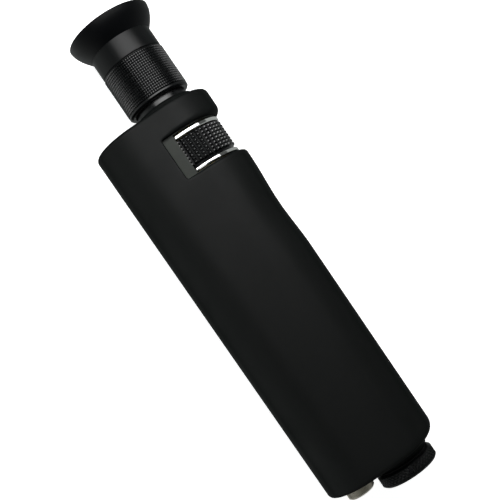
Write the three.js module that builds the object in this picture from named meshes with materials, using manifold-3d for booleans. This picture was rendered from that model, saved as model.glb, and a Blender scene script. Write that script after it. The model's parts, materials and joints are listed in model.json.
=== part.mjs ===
// Handheld inspection microscope: an oval rubber-clad body with an eyepiece, a recessed focus wheel,
// a screw-on connector adapter and a battery column beside the optical tube.
// Millimetres. It lies on its broad back: +Z up, +Y along the optical axis towards the eyecup, +X to the
// wheel side.
// Lengths along the axis are stations, counted from the boot's nose face towards the eyecup.

import * as THREE from "three";
import { mergeVertices } from "three/addons/utils/BufferGeometryUtils.js";
import Module from "manifold-3d";

const wasm = await Module();
wasm.setup();

// ---- Driving dimensions ----

const BODY_LENGTH = 128.2;
const BODY_WIDTH = 41.6;
const BODY_THICKNESS = 30;
const BOOT_WALL = 1.5;
const SHELL_WALL = 1.6;
const SHELL_WIDTH = 36.4;
const FIT = 0.2;                    // clearance between fitted pieces

const OPTIC_X = 6.2;                // optical axis, off the body's centre line
const BATTERY_X = -9.8;             // battery column's axis
const AXIS_Z = BODY_THICKNESS / 2;

const BOOT_EDGE = 1.4;              // rounding of the boot's two ends
const NOSE_TAPER = 1.6;             // how much narrower the nose is on the battery side
const NOSE_TAPER_WHEEL_SIDE = 0.8;
const WAIST_STATION = 85;
const WAIST_DEPTH = 0.7;
const WAIST_HALF_LENGTH = 17;

const EYECUP_RIM = 162;             // stations of the eyepiece
const EYECUP_FOOT = 155.4;
const EYECUP_RADIUS = 14.6;
const EYECUP_STEPS = 5;
const BARREL_RADIUS = 10.75;
const BARREL_FOOT = 148.1;
const DIOPTER_RADIUS = 10.95;
const DIOPTER_FOOT = 132.3;
const DIOPTER_TOP = 147.9;
const DIOPTER_BORE = 9.15;
const NECK_RADIUS = 8.9;
const NECK_BORE = 8.1;
const NECK_TOP = 146;
const NECK_FOOT = 119.6;
const NECK_COLLAR_HEIGHT = 2.1;
const SKIRT_FOOT = 134;
const SKIRT_RADIUS = 7.9;
const PIN_STATION = 140.5;          // the pin that the diopter ring drives the eyepiece by
const EYEPIECE_TRAVEL = 2.4;

const WHEEL_RADIUS = 12.5;
const WHEEL_MIDDLE = 112.15;
const WHEEL_RING_OFFSET = 5.85;     // chrome ring's middle from the wheel's middle
const WHEEL_RING_THICKNESS = 1.3;
const WHEEL_TEETH = 44;
const WHEEL_TOOTH_DEPTH = 0.4;
const WHEEL_BORE = 9.8;
const NUT_RADIUS = 9.6;
const SLOT_LENGTH = 13.7;           // wheel slot through the metal shell
const SLOT_EDGE_X = 3.7;
const WINDOW_MARGIN = 0.25;         // rubber window past the slot, each end
const WINDOW_EDGE_X = 0;

const ADAPTER_RADIUS = 9.8;
const ADAPTER_FLANGE = 4.2;
const ADAPTER_SEAT = -2.8;          // station of the flange's inner face
const SPIGOT_RADIUS = 7.0;
const SPIGOT_LENGTH = 3.4;
const ADAPTER_LIP_RADIUS = 5.9;
const ADAPTER_BORE = 5.3;
const ADAPTER_END = ADAPTER_SEAT - ADAPTER_FLANGE;
const INSERT_MOUTH = -5.8;
const FERRULE_RADIUS = 1.25;
const SET_SCREW_RADIUS = 0.75;
const SEAT_RADIUS = 8.0;
const SEAT_FACE = -2.2;
const NOSE_COLLAR_HEIGHT = 2.2;
const NOSE_COLLAR_RADIUS = 9.7;

const CELL_RADIUS = 5.25;           // AAA cell
const CELL_LENGTH = 44.5;
const KNOB_RADIUS = 4.7;
const KNOB_END = -4.15;
const KNOB_TEETH = 24;
const CAP_FLANGE_RADIUS = 5.9;
const CAP_THREAD_RADIUS = 5.75;
const CAP_FLANGE_FROM = 0.3;
const CAP_FLANGE_TO = 1.8;
const CELL_FROM = 8.7;
const LINER_RADIUS = 6.15;
const LINER_TO = 99.4;
const SPRING_RADIUS = 3.9;
const SPRING_FROM = 3.5;
const SPRING_TO = 7.2;
const SPRING_TURNS = 4;

const CARRIAGE_RADIUS = 7.6;
const CARRIAGE_BORE = 6.6;
const CARRIAGE_FROM = 12;
const CARRIAGE_TO = 118.5;
const KEY_HALF_WIDTH = 0.9;
const LOWER_BEARING = [20, 24];     // stations of the two bearing plates
const UPPER_BEARING = [101.3, 104.9];
const OBJECTIVE_FROM = 6;
const LED_STATION = 36;
const LED_RADIUS = 1.8;
const SPLITTER_HALF_LENGTH = 6;     // of its holder
const BOARD_TOP = -9.3;             // height of the lamp board's face, from the axis
const BOARD_THICKNESS = 0.8;

const PLATE_THICKNESS = 4.5;        // the two plates that the screws hold
const SCREW_RADIUS = 0.9;
const SCREW_HEAD_RADIUS = 1.7;
const SCREW_LENGTH = 4.2;
const SCREW_X = [-4, 4];

const FINE = 32;                    // facets round a large turned piece
const COARSE = 14;                  // facets round a small or hidden one

const MIDDLE_STATION = (EYECUP_RIM + ADAPTER_END) / 2;

// ---- Materials ----

const material = (color, roughness, metalness) =>
  new THREE.MeshStandardMaterial({ color, roughness, metalness });
const bootRubber = material(0x232525, 0.62, 0);
const shellMetal = material(0x7b8078, 0.45, 0.9);
const blackMetal = material(0x151617, 0.38, 0.6);
const cupPlastic = material(0x17181a, 0.5, 0);
const chrome = material(0xe8e8e6, 0.08, 1);
const knobMetal = material(0xb9b4a4, 0.35, 0.9);
const brass = material(0xb08d4a, 0.35, 1);
const steel = material(0x9a9b9d, 0.3, 1);
const sealRubber = material(0x101010, 0.8, 0);
const clear = (color, roughness, opacity) =>
  new THREE.MeshStandardMaterial({ color, roughness, opacity, transparent: true });
const glass = clear(0xcfd8de, 0.03, 0.35);
const filterGlass = clear(0xa9cdd2, 0.05, 0.5);
const linerPlastic = material(0x2e2f31, 0.6, 0);
const cellWrap = material(0x3f5f7d, 0.35, 0.1);
const boardPlastic = material(0x1f4d2e, 0.5, 0);
const ledResin = material(0xf2efe2, 0.2, 0);
const wireRed = material(0xa3261f, 0.5, 0);

// ---- Solids ----

// Merges shared vertices, drops collapsed triangles and turns the faces outwards.
function closed(geometry) {
  const bare = geometry.clone();
  bare.deleteAttribute("normal");
  bare.deleteAttribute("uv");
  const merged = mergeVertices(bare, 1e-4);
  const position = merged.attributes.position;
  const corners = [new THREE.Vector3(), new THREE.Vector3(), new THREE.Vector3()];
  const index = [];
  let volume = 0;
  for (let i = 0; i < merged.index.count; i += 3) {
    const triangle = [0, 1, 2].map((k) => merged.index.getX(i + k));
    if (new Set(triangle).size < 3) continue;
    triangle.forEach((vertex, k) => corners[k].fromBufferAttribute(position, vertex));
    volume += corners[0].dot(corners[1].cross(corners[2]));
    index.push(...triangle);
  }
  merged.setIndex(volume < 0 ? index.reverse() : index);
  return merged;
}

function solid(geometry) {
  const body = closed(geometry);
  return new wasm.Manifold(new wasm.Mesh({
    numProp: 3,
    vertProperties: new Float32Array(body.attributes.position.array),
    triVerts: new Uint32Array(body.index.array),
  }));
}

function toGeometry(manifold) {
  const mesh = manifold.getMesh();
  const geometry = new THREE.BufferGeometry();
  geometry.setAttribute("position", new THREE.BufferAttribute(mesh.vertProperties, 3));
  geometry.setIndex(new THREE.BufferAttribute(mesh.triVerts, 1));
  return geometry;
}

const cut = (body, ...tools) =>
  toGeometry(tools.reduce((left, tool) => left.subtract(solid(tool)), solid(body)));
const join = (first, ...others) =>
  toGeometry(others.reduce((sum, other) => sum.add(solid(other)), solid(first)));

// Every shape below is drawn with X across, Y as the station and Z above the axis.

// A piece turned about the Y axis through x, from [radius, station] corners; the outline closes on itself.
function turned(x, corners, facets = COARSE) {
  const outline = corners.map(([radius, station]) => new THREE.Vector2(radius, station));
  const [first, last] = [outline[0], outline[outline.length - 1]];
  if (first.x > 0 || last.x > 0) outline.push(first.clone());
  return closed(new THREE.LatheGeometry(outline, facets).translate(x, 0, 0));
}

const tube = (x, outer, inner, from, to, facets) =>
  turned(x, [[outer, from], [outer, to], [inner, to], [inner, from]], facets);

const rod = (x, radius, from, to, facets) =>
  turned(x, [[0, from], [radius, from], [radius, to], [0, to]], facets);

const block = (x0, x1, y0, y1, z0, z1) =>
  new THREE.BoxGeometry(x1 - x0, y1 - y0, z1 - z0).translate((x0 + x1) / 2, (y0 + y1) / 2, (z0 + z1) / 2);

// A pin with its axis along Z.
const upright = (x, y, radius, z0, z1, facets = 16) =>
  new THREE.CylinderGeometry(radius, radius, z1 - z0, facets)
    .rotateX(Math.PI / 2).translate(x, y, (z0 + z1) / 2);

// An oval outline: two straight sides joined by arcs. The arcs' radius is half the thickness.
function ovalPoints(left, right, halfThickness, arcFacets = 16) {
  const points = [];
  for (const [centre, start] of [[right - halfThickness, -Math.PI / 2], [left + halfThickness, Math.PI / 2]]) {
    for (let i = 0; i <= arcFacets; i++) {
      const angle = start + (Math.PI * i) / arcFacets;
      points.push([centre + halfThickness * Math.cos(angle), halfThickness * Math.sin(angle)]);
    }
  }
  return points;
}

// A body through oval rings of equal point count, each { station, points }, closed by a fan at each end.
function lofted(rings) {
  const count = rings[0].points.length;
  const position = rings.flatMap((ring) => ring.points.flatMap(([x, z]) => [x, ring.station, z]));
  const index = [];
  for (let r = 0; r + 1 < rings.length; r++) {
    for (let i = 0; i < count; i++) {
      const [a, b] = [r * count + i, r * count + ((i + 1) % count)];
      index.push(a, b, b + count, a, b + count, a + count);
    }
  }
  [0, rings.length - 1].forEach((r, end) => {
    const hub = position.length / 3;
    position.push(0, rings[r].station, 0);
    for (let i = 0; i < count; i++) {
      const [a, b] = [r * count + i, r * count + ((i + 1) % count)];
      index.push(...(end ? [hub, a, b] : [hub, b, a]));
    }
  });
  const geometry = new THREE.BufferGeometry();
  geometry.setAttribute("position", new THREE.Float32BufferAttribute(position, 3));
  geometry.setIndex(index);
  return closed(geometry);
}

const ovalBar = (width, thickness, from, to) =>
  lofted([from, to].map((station) => ({ station, points: ovalPoints(-width / 2, width / 2, thickness / 2) })));

const parts = new THREE.Group();
parts.name = "inspection_microscope";
parts.position.set(0, -MIDDLE_STATION, AXIS_Z);

function addPart(name, geometry, look) {
  const mesh = new THREE.Mesh(geometry, look);
  mesh.name = name;
  parts.add(mesh);
}

// ---- Housing ----

const shellThickness = BODY_THICKNESS - 2 * (BOOT_WALL + FIT);
const innerWidth = SHELL_WIDTH - 2 * SHELL_WALL;
const innerThickness = shellThickness - 2 * SHELL_WALL;
const shellFrom = BOOT_WALL + FIT;
const shellTo = BODY_LENGTH - BOOT_WALL - FIT;
const slotFrom = WHEEL_MIDDLE - SLOT_LENGTH / 2;
const slotTo = WHEEL_MIDDLE + SLOT_LENGTH / 2;
const noseTo = shellFrom + PLATE_THICKNESS;
const topFrom = shellTo - PLATE_THICKNESS;
const noseScrewStation = shellFrom + PLATE_THICKNESS / 2;
const topScrewStation = shellTo - PLATE_THICKNESS / 2;

// The boot's outline at a station: it narrows towards the nose, with a shallow waist on the wheel side.
function bootOutline(station, inset) {
  const towardsNose = Math.max(1 - station / (BODY_LENGTH - BOOT_EDGE), 0);
  const offWaist = Math.min(Math.abs(station - WAIST_STATION) / WAIST_HALF_LENGTH, 1);
  const waist = WAIST_DEPTH * 0.5 * (1 + Math.cos(Math.PI * offWaist));
  const left = -BODY_WIDTH / 2 + NOSE_TAPER * towardsNose + inset;
  const right = BODY_WIDTH / 2 - NOSE_TAPER_WHEEL_SIDE * towardsNose - waist - inset;
  return { station, points: ovalPoints(left, right, BODY_THICKNESS / 2 - inset) };
}

// The whole boot as a solid bar with rounded ends, before it is hollowed.
function bootBar() {
  const edge = [90, 60, 30, 0].map((degrees) => {
    const angle = THREE.MathUtils.degToRad(degrees);
    return [BOOT_EDGE * (1 - Math.sin(angle)), BOOT_EDGE * (1 - Math.cos(angle))];
  });
  const waistStations = [-1, -0.5, 0, 0.5, 1].map((t) => WAIST_STATION + t * WAIST_HALF_LENGTH);
  const rings = [
    ...edge,
    ...waistStations.map((station) => [station, 0]),
    ...edge.reverse().map(([station, inset]) => [BODY_LENGTH - station, inset]),
  ];
  return lofted(rings.map(([station, inset]) => bootOutline(station, inset)));
}

function rubberBoot() {
  const neckCollar = turned(OPTIC_X, [
    [0, BODY_LENGTH - 1], [11.2, BODY_LENGTH - 1], [11.2, BODY_LENGTH + 0.3],
    [10.5, BODY_LENGTH + 1.4], [9.7, BODY_LENGTH + NECK_COLLAR_HEIGHT], [0, BODY_LENGTH + NECK_COLLAR_HEIGHT],
  ], FINE);
  const noseCollar = turned(OPTIC_X, [
    [0, 1], [NOSE_COLLAR_RADIUS, 1], [NOSE_COLLAR_RADIUS, -0.6],
    [NOSE_COLLAR_RADIUS - 0.5, -1.6], [NOSE_COLLAR_RADIUS - 1.2, -NOSE_COLLAR_HEIGHT], [0, -NOSE_COLLAR_HEIGHT],
  ], FINE);
  return cut(join(bootBar(), neckCollar, noseCollar),
    ovalBar(SHELL_WIDTH + 2 * FIT, shellThickness + 2 * FIT, BOOT_WALL, BODY_LENGTH - BOOT_WALL),
    block(WINDOW_EDGE_X, BODY_WIDTH, slotFrom - WINDOW_MARGIN, slotTo + WINDOW_MARGIN, -BODY_WIDTH, BODY_WIDTH),
    rod(OPTIC_X, NECK_RADIUS + FIT, BODY_LENGTH - 3, BODY_LENGTH + 4, FINE),
    rod(OPTIC_X, SEAT_RADIUS + FIT, -4, 3, FINE),
    rod(BATTERY_X, CAP_FLANGE_RADIUS + 0.3, -4, 3));
}

// The metal oval tube, slotted for the wheel and drilled for the plates' screws.
function shellTube() {
  const screwHoles = [noseScrewStation, topScrewStation].flatMap((station) =>
    SCREW_X.map((x) => upright(x, station, SCREW_HEAD_RADIUS + FIT, -BODY_THICKNESS, 0)));
  return cut(ovalBar(SHELL_WIDTH, shellThickness, shellFrom, shellTo),
    ovalBar(innerWidth, innerThickness, shellFrom - 1, shellTo + 1),
    block(SLOT_EDGE_X, BODY_WIDTH, slotFrom, slotTo, -BODY_WIDTH, BODY_WIDTH),
    rod(OPTIC_X, WHEEL_RADIUS + FIT, slotFrom, slotTo, FINE),
    ...screwHoles);
}

// An oval plate inside the shell, with threaded holes for its two screws where it has them.
function shellPlate(from, to, holes, screwStation) {
  const threadEnd = -shellThickness / 2 + SCREW_LENGTH + FIT;
  const threads = (screwStation ? SCREW_X : []).map((x) =>
    upright(x, screwStation, SCREW_RADIUS + FIT, -BODY_THICKNESS, threadEnd));
  return cut(ovalBar(innerWidth - 2 * FIT, innerThickness - 2 * FIT, from, to), ...holes, ...threads);
}

// A countersunk screw through the shell's back into a plate.
function plateScrew(x, station) {
  const headFace = -shellThickness / 2;
  return join(
    upright(x, station, SCREW_HEAD_RADIUS, headFace, headFace + SHELL_WALL),
    upright(x, station, SCREW_RADIUS, headFace + 1, headFace + SCREW_LENGTH));
}

// A hole right through the body along an axis at x.
const through = (x, radius, facets) => rod(x, radius, 0, BODY_LENGTH, facets);

addPart("rubber_boot", rubberBoot(), bootRubber);
addPart("shell_tube", shellTube(), shellMetal);
addPart("nose_plate", shellPlate(shellFrom, noseTo, [
  through(OPTIC_X, SEAT_RADIUS + FIT, FINE),
  through(BATTERY_X, CAP_THREAD_RADIUS + FIT),
  rod(BATTERY_X, CAP_FLANGE_RADIUS + 0.3, 0, CAP_FLANGE_TO + FIT),
], noseScrewStation), blackMetal);
addPart("top_plate", shellPlate(topFrom, shellTo, [
  through(OPTIC_X, NECK_RADIUS + FIT, FINE),
], topScrewStation), blackMetal);
for (const [i, x] of SCREW_X.entries()) {
  addPart(`nose_screw_${i + 1}`, plateScrew(x, noseScrewStation), steel);
  addPart(`top_screw_${i + 1}`, plateScrew(x, topScrewStation), steel);
}

// The threaded bush that the adapter screws into, with a flange behind the nose plate.
addPart("nose_seat", turned(OPTIC_X, [
  [SEAT_RADIUS, SEAT_FACE], [SEAT_RADIUS, noseTo + FIT], [9.4, noseTo + FIT], [9.4, 8],
  [6.9, 8], [6.9, SPIGOT_LENGTH], [SPIGOT_RADIUS + 0.1, SPIGOT_LENGTH], [SPIGOT_RADIUS + 0.1, SEAT_FACE],
], FINE), blackMetal);

// The neck carries the eyepiece; its foot is a flange under the top plate, and its side slot guides the
// drive pin.
addPart("neck_tube", cut(turned(OPTIC_X, [
  [10, NECK_FOOT], [10, topFrom - FIT], [NECK_RADIUS, topFrom - FIT], [NECK_RADIUS, NECK_TOP],
  [NECK_BORE, NECK_TOP], [NECK_BORE, NECK_FOOT],
], FINE), block(OPTIC_X, OPTIC_X + 15, PIN_STATION - 1.3, PIN_STATION + 1.3 + EYEPIECE_TRAVEL, -1, 1)),
blackMetal);

// Bearing plates: the lower one guides the carriage's key, the upper one is the focus nut's journal.
const keyway = KEY_HALF_WIDTH + FIT + 0.1;
addPart("lower_bearing_plate", shellPlate(...LOWER_BEARING, [
  through(OPTIC_X, CARRIAGE_RADIUS + 0.1, FINE),
  through(BATTERY_X, LINER_RADIUS + FIT),
  block(OPTIC_X - keyway, OPTIC_X + keyway, LOWER_BEARING[0] - 1, LOWER_BEARING[1] + 1, 0, 9.7),
]), blackMetal);
addPart("upper_bearing_plate", shellPlate(...UPPER_BEARING, [
  through(OPTIC_X, NUT_RADIUS + 0.1, FINE),
]), blackMetal);

// ---- Focus wheel and its nut ----

// A drum with straight grooves across its rim.
function toothedRim(radius, depth, teeth, bore, from, to) {
  const outline = new THREE.Shape();
  for (let i = 0; i < teeth; i++) {
    for (const [share, r] of [[0, radius], [0.5, radius - depth]]) {
      const angle = ((i + share) / teeth) * 2 * Math.PI;
      const [x, z] = [r * Math.cos(angle), r * Math.sin(angle)];
      if (i + share === 0) outline.moveTo(x, z);
      else outline.lineTo(x, z);
    }
  }
  if (bore > 0) outline.holes.push(new THREE.Path().absarc(0, 0, bore, 0, 2 * Math.PI, true));
  const options = { depth: to - from, bevelEnabled: false, curveSegments: FINE };
  return new THREE.ExtrudeGeometry(outline, options).rotateX(-Math.PI / 2).translate(0, from, 0);
}

const bandHalf = WHEEL_RING_OFFSET - WHEEL_RING_THICKNESS / 2 - FIT;
const wheelBand = toothedRim(WHEEL_RADIUS, WHEEL_TOOTH_DEPTH, WHEEL_TEETH, WHEEL_BORE,
  WHEEL_MIDDLE - bandHalf, WHEEL_MIDDLE + bandHalf);
addPart("focus_wheel", closed(wheelBand.translate(OPTIC_X, 0, 0)), blackMetal);
for (const [name, side] of [["wheel_ring_lower", -1], ["wheel_ring_upper", 1]]) {
  const middle = WHEEL_MIDDLE + side * WHEEL_RING_OFFSET;
  const half = WHEEL_RING_THICKNESS / 2;
  addPart(name, tube(OPTIC_X, WHEEL_RADIUS, WHEEL_BORE, middle - half, middle + half, FINE), chrome);
}
addPart("focus_nut",
  tube(OPTIC_X, NUT_RADIUS, CARRIAGE_RADIUS + 0.1, UPPER_BEARING[0] + FIT, NECK_FOOT - FIT, FINE), brass);

// ---- Objective carriage, driven along the axis by the nut ----

const lampWindow = upright(OPTIC_X, LED_STATION, LED_RADIUS + 1.5, -BODY_THICKNESS / 2, 0);
addPart("carriage_tube",
  cut(tube(OPTIC_X, CARRIAGE_RADIUS, CARRIAGE_BORE, CARRIAGE_FROM, CARRIAGE_TO, FINE), lampWindow), blackMetal);
addPart("carriage_key",
  block(OPTIC_X - KEY_HALF_WIDTH, OPTIC_X + KEY_HALF_WIDTH, 17, 27, CARRIAGE_RADIUS + 0.1, 9.3), steel);
addPart("objective_cell", turned(OPTIC_X, [
  [4.6, OBJECTIVE_FROM], [4.6, 12.2], [6.4, 13], [6.4, 29], [5.4, 29], [5.4, 24], [3.4, 22], [3.4, 10],
  [2.8, 9.2], [2.8, OBJECTIVE_FROM],
]), brass);
addPart("objective_front_lens", turned(OPTIC_X, [[0, 6.3], [2.6, 6.7], [2.6, 8.4], [0, 9.4]]), glass);
addPart("objective_rear_lens", turned(OPTIC_X, [
  [0, 24.2], [3, 24.5], [5.2, 25.2], [5.2, 27.2], [3, 27.9], [0, 28.2],
]), glass);
const [holderFrom, holderTo] = [LED_STATION - SPLITTER_HALF_LENGTH, LED_STATION + SPLITTER_HALF_LENGTH];
addPart("splitter_holder",
  cut(tube(OPTIC_X, CARRIAGE_BORE - FIT, 5.8, holderFrom, holderTo), lampWindow), blackMetal);
addPart("beam_splitter",
  new THREE.BoxGeometry(7, 9.4, 0.8).rotateX(Math.PI / 4).translate(OPTIC_X, LED_STATION, 0), glass);

// ---- Illumination and power ----

addPart("led_board",
  block(OPTIC_X - 4, OPTIC_X + 4, 24.5, 44, BOARD_TOP - BOARD_THICKNESS, BOARD_TOP), boardPlastic);
addPart("led", join(upright(OPTIC_X, LED_STATION, LED_RADIUS, BOARD_TOP + FIT, BOARD_TOP + 0.9, COARSE),
  upright(OPTIC_X, LED_STATION, LED_RADIUS * 0.6, BOARD_TOP + 0.5, BOARD_TOP + 1.4, COARSE)), ledResin);

const linerFrom = noseTo + 0.4;
addPart("battery_liner", tube(BATTERY_X, LINER_RADIUS, CELL_RADIUS + 0.4, linerFrom, LINER_TO), linerPlastic);
const upperCellFrom = CELL_FROM + CELL_LENGTH + 0.3;
[["battery_cell_lower", CELL_FROM], ["battery_cell_upper", upperCellFrom]].forEach(([name, from]) => {
  const shoulder = from + CELL_LENGTH - 0.9;
  addPart(name, turned(BATTERY_X, [
    [0, from], [CELL_RADIUS - 0.4, from], [CELL_RADIUS, from + 0.4], [CELL_RADIUS, shoulder - 0.4],
    [CELL_RADIUS - 0.4, shoulder], [1.9, shoulder], [1.9, from + CELL_LENGTH], [0, from + CELL_LENGTH],
  ]), cellWrap);
});
const contactFrom = upperCellFrom + CELL_LENGTH + 0.3;
addPart("positive_contact", turned(BATTERY_X, [
  [0, contactFrom], [1.6, contactFrom], [1.6, contactFrom + 0.4], [5.3, contactFrom + 0.4],
  [5.3, contactFrom + 0.9], [0, contactFrom + 0.9],
]), brass);

// The insulated wire from the positive contact to the lamp board, laid between the liner and the carriage.
const wireRoute = new THREE.CatmullRomCurve3([
  [BATTERY_X + 3, 100, 0], [BATTERY_X + 4.5, 100.2, -1.5], [-3.4, 99.4, -6], [-2.6, 96, -8], [-2.4, 84, -8.6],
  [-2.4, 66, -8.6], [-2.2, 52, -8.6], [-0.5, 46.5, -9.2], [2.6, 44.8, -9.7], [4, 44.4, -9.7],
].map((point) => new THREE.Vector3(...point)));
const wireSection = new THREE.Shape().absarc(0, 0, 0.45, 0, 2 * Math.PI);
addPart("lamp_wire", closed(new THREE.ExtrudeGeometry(wireSection, {
  steps: 24, curveSegments: 3, extrudePath: wireRoute, bevelEnabled: false,
})), wireRed);

// ---- Eyepiece ----

addPart("diopter_ring", turned(OPTIC_X, [
  [DIOPTER_RADIUS - 0.5, DIOPTER_FOOT], [DIOPTER_RADIUS, DIOPTER_FOOT + 0.4], [DIOPTER_RADIUS, DIOPTER_TOP],
  [DIOPTER_BORE, DIOPTER_TOP], [DIOPTER_BORE, 145.2], [DIOPTER_BORE + 0.9, 145.2], [DIOPTER_BORE + 0.9, 138],
  [DIOPTER_BORE, 138], [DIOPTER_BORE, DIOPTER_FOOT],
], FINE), blackMetal);

addPart("eyepiece_tube", cut(turned(OPTIC_X, [
  [BARREL_RADIUS, BARREL_FOOT], [BARREL_RADIUS, EYECUP_FOOT - FIT], [9, EYECUP_FOOT - FIT], [9, 149.4],
  [7, 149.4], [7, SKIRT_FOOT], [SKIRT_RADIUS, SKIRT_FOOT], [SKIRT_RADIUS, BARREL_FOOT],
], FINE), block(OPTIC_X + 5, OPTIC_X + 9, PIN_STATION - 1, PIN_STATION + 1, -1, 1)), blackMetal);
addPart("drive_pin", new THREE.CylinderGeometry(0.7, 0.7, 2.6, 16).rotateZ(Math.PI / 2)
  .translate(OPTIC_X + 8.5, PIN_STATION, 0), steel);
addPart("safety_filter", rod(OPTIC_X, 6.8, 134.4, 135.4), filterGlass);
addPart("field_lens", turned(OPTIC_X, [[0, 135.7], [4, 136], [6.8, 136.8], [6.8, 138], [0, 138]]), glass);
addPart("lens_spacer", tube(OPTIC_X, 6.8, 6.2, 138.3, 143), blackMetal);
addPart("field_stop", tube(OPTIC_X, 6.8, 3.6, 143.3, 144.1), blackMetal);
addPart("eye_lens", turned(OPTIC_X, [
  [0, 149.2], [3, 149.4], [6, 149.9], [8.7, 150.8], [8.7, 152], [6, 152.9], [3, 153.4], [0, 153.6],
], FINE), glass);
addPart("lens_retainer", turned(OPTIC_X, [
  [8.8, 152.6], [8.8, 154.6], [7.4, 154.6], [7.4, 153.4], [8.1, 152.6],
], FINE), blackMetal);

// The eyecup flares in a shallow curve from the barrel to a thin rim.
function eyecup() {
  const height = EYECUP_RIM - EYECUP_FOOT;
  const flare = EYECUP_RADIUS - BARREL_RADIUS;
  const outer = [];
  for (let i = 0; i <= EYECUP_STEPS; i++) {
    const t = i / EYECUP_STEPS;
    outer.push([BARREL_RADIUS + flare * Math.sin((Math.PI / 2) * t ** 1.25), EYECUP_FOOT + height * t]);
  }
  const inner = [
    [EYECUP_RADIUS - 0.8, EYECUP_RIM], [12.6, EYECUP_RIM - 2.6], [9.4, EYECUP_FOOT + 1.2], [9.2, EYECUP_FOOT],
  ];
  return turned(OPTIC_X, [...outer, ...inner], FINE);
}
addPart("eyecup", eyecup(), cupPlastic);

// ---- Connector adapter ----

const setScrewStation = ADAPTER_SEAT - ADAPTER_FLANGE / 2;
addPart("adapter_ring", cut(turned(OPTIC_X, [
  [ADAPTER_RADIUS - 0.5, ADAPTER_END], [ADAPTER_RADIUS, ADAPTER_END + 0.5],
  [ADAPTER_RADIUS, ADAPTER_SEAT - 0.4], [ADAPTER_RADIUS - 0.4, ADAPTER_SEAT],
  [SPIGOT_RADIUS - 0.5, ADAPTER_SEAT], [SPIGOT_RADIUS - 0.5, ADAPTER_SEAT + 0.7],
  [SPIGOT_RADIUS, ADAPTER_SEAT + 1], [SPIGOT_RADIUS, ADAPTER_SEAT + SPIGOT_LENGTH],
  [ADAPTER_BORE, ADAPTER_SEAT + SPIGOT_LENGTH], [ADAPTER_BORE, ADAPTER_END + 1],
  [ADAPTER_LIP_RADIUS, ADAPTER_END + 0.2], [ADAPTER_LIP_RADIUS + 0.7, ADAPTER_END],
], FINE), upright(OPTIC_X, setScrewStation, SET_SCREW_RADIUS + FIT, 0, 12)), blackMetal);
addPart("adapter_set_screw", upright(OPTIC_X, setScrewStation, SET_SCREW_RADIUS, 5.6, 9), steel);

// The insert is a cup with the ferrule sleeve in its floor.
addPart("adapter_insert", turned(OPTIC_X, [
  [ADAPTER_BORE - FIT, INSERT_MOUTH], [ADAPTER_BORE - FIT, 0.4], [2.1, 0.4], [2.1, -2.2],
  [4.6, -2.2], [4.6, INSERT_MOUTH],
]), blackMetal);
addPart("ferrule_sleeve", tube(OPTIC_X, 1.9, FERRULE_RADIUS + 0.03, -2.6, 2.6), steel);
addPart("adapter_washer", tube(OPTIC_X, 8.9, 7.3, ADAPTER_SEAT + 0.15, SEAT_FACE - 0.15, FINE), sealRubber);

// ---- Battery cap ----

addPart("battery_cap", join(
  closed(toothedRim(KNOB_RADIUS, 0.25, KNOB_TEETH, 0, KNOB_END + 0.5, -0.4).translate(BATTERY_X, 0, 0)),
  turned(BATTERY_X, [
    [0, KNOB_END], [KNOB_RADIUS - 0.8, KNOB_END], [KNOB_RADIUS - 0.35, KNOB_END + 0.5],
    [KNOB_RADIUS - 0.35, CAP_FLANGE_FROM],
    [CAP_FLANGE_RADIUS, CAP_FLANGE_FROM], [CAP_FLANGE_RADIUS, CAP_FLANGE_TO], [5, CAP_FLANGE_TO], [5, 2.6],
    [CAP_THREAD_RADIUS, 2.6], [CAP_THREAD_RADIUS, noseTo], [4.7, noseTo], [4.7, 3], [0, 3],
  ])), knobMetal);
addPart("cap_seal", tube(BATTERY_X, 5.7, 5.15, CAP_FLANGE_TO + 0.15, 2.45), sealRubber);

class SpringCurve extends THREE.Curve {
  getPoint(t, target = new THREE.Vector3()) {
    const angle = 2 * Math.PI * SPRING_TURNS * t;
    const height = THREE.MathUtils.lerp(SPRING_FROM, SPRING_TO, t);
    return target.set(BATTERY_X + SPRING_RADIUS * Math.cos(angle), height, SPRING_RADIUS * Math.sin(angle));
  }
}
const springWire = new THREE.Shape().absarc(0, 0, 0.3, 0, 2 * Math.PI);
addPart("cap_spring", closed(new THREE.ExtrudeGeometry(springWire, {
  steps: 10 * SPRING_TURNS, curveSegments: 3, extrudePath: new SpringCurve(), bevelEnabled: false,
})), steel);
addPart("cap_contact", rod(BATTERY_X, 4.9, CELL_FROM - 0.9, CELL_FROM - 0.4), brass);

const microscope = new THREE.Group();
microscope.add(parts);
export default microscope;
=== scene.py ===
"""Looks of the handheld inspection microscope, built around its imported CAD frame."""

import json
import math

import bmesh
import bpy
import numpy as np
from mathutils import Matrix, Vector


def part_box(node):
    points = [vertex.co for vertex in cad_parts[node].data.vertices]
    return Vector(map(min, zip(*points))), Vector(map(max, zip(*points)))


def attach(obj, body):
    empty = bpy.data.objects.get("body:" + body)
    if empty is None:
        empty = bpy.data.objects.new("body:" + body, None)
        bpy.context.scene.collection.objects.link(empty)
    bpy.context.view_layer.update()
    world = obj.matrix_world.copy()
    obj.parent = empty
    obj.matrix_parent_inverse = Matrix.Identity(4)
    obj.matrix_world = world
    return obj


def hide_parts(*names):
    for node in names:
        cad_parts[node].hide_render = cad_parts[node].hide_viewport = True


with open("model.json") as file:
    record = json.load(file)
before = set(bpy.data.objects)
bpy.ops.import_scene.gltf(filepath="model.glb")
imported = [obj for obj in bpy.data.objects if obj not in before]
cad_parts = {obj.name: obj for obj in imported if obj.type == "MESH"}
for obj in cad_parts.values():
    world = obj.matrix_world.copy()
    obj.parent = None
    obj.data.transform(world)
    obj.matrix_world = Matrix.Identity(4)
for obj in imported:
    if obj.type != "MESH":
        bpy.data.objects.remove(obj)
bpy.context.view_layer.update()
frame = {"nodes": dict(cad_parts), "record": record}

MM = 0.001

# ---- Places, all from the frame, in millimetres: x across, station along the axis, z above the axis ----


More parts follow.
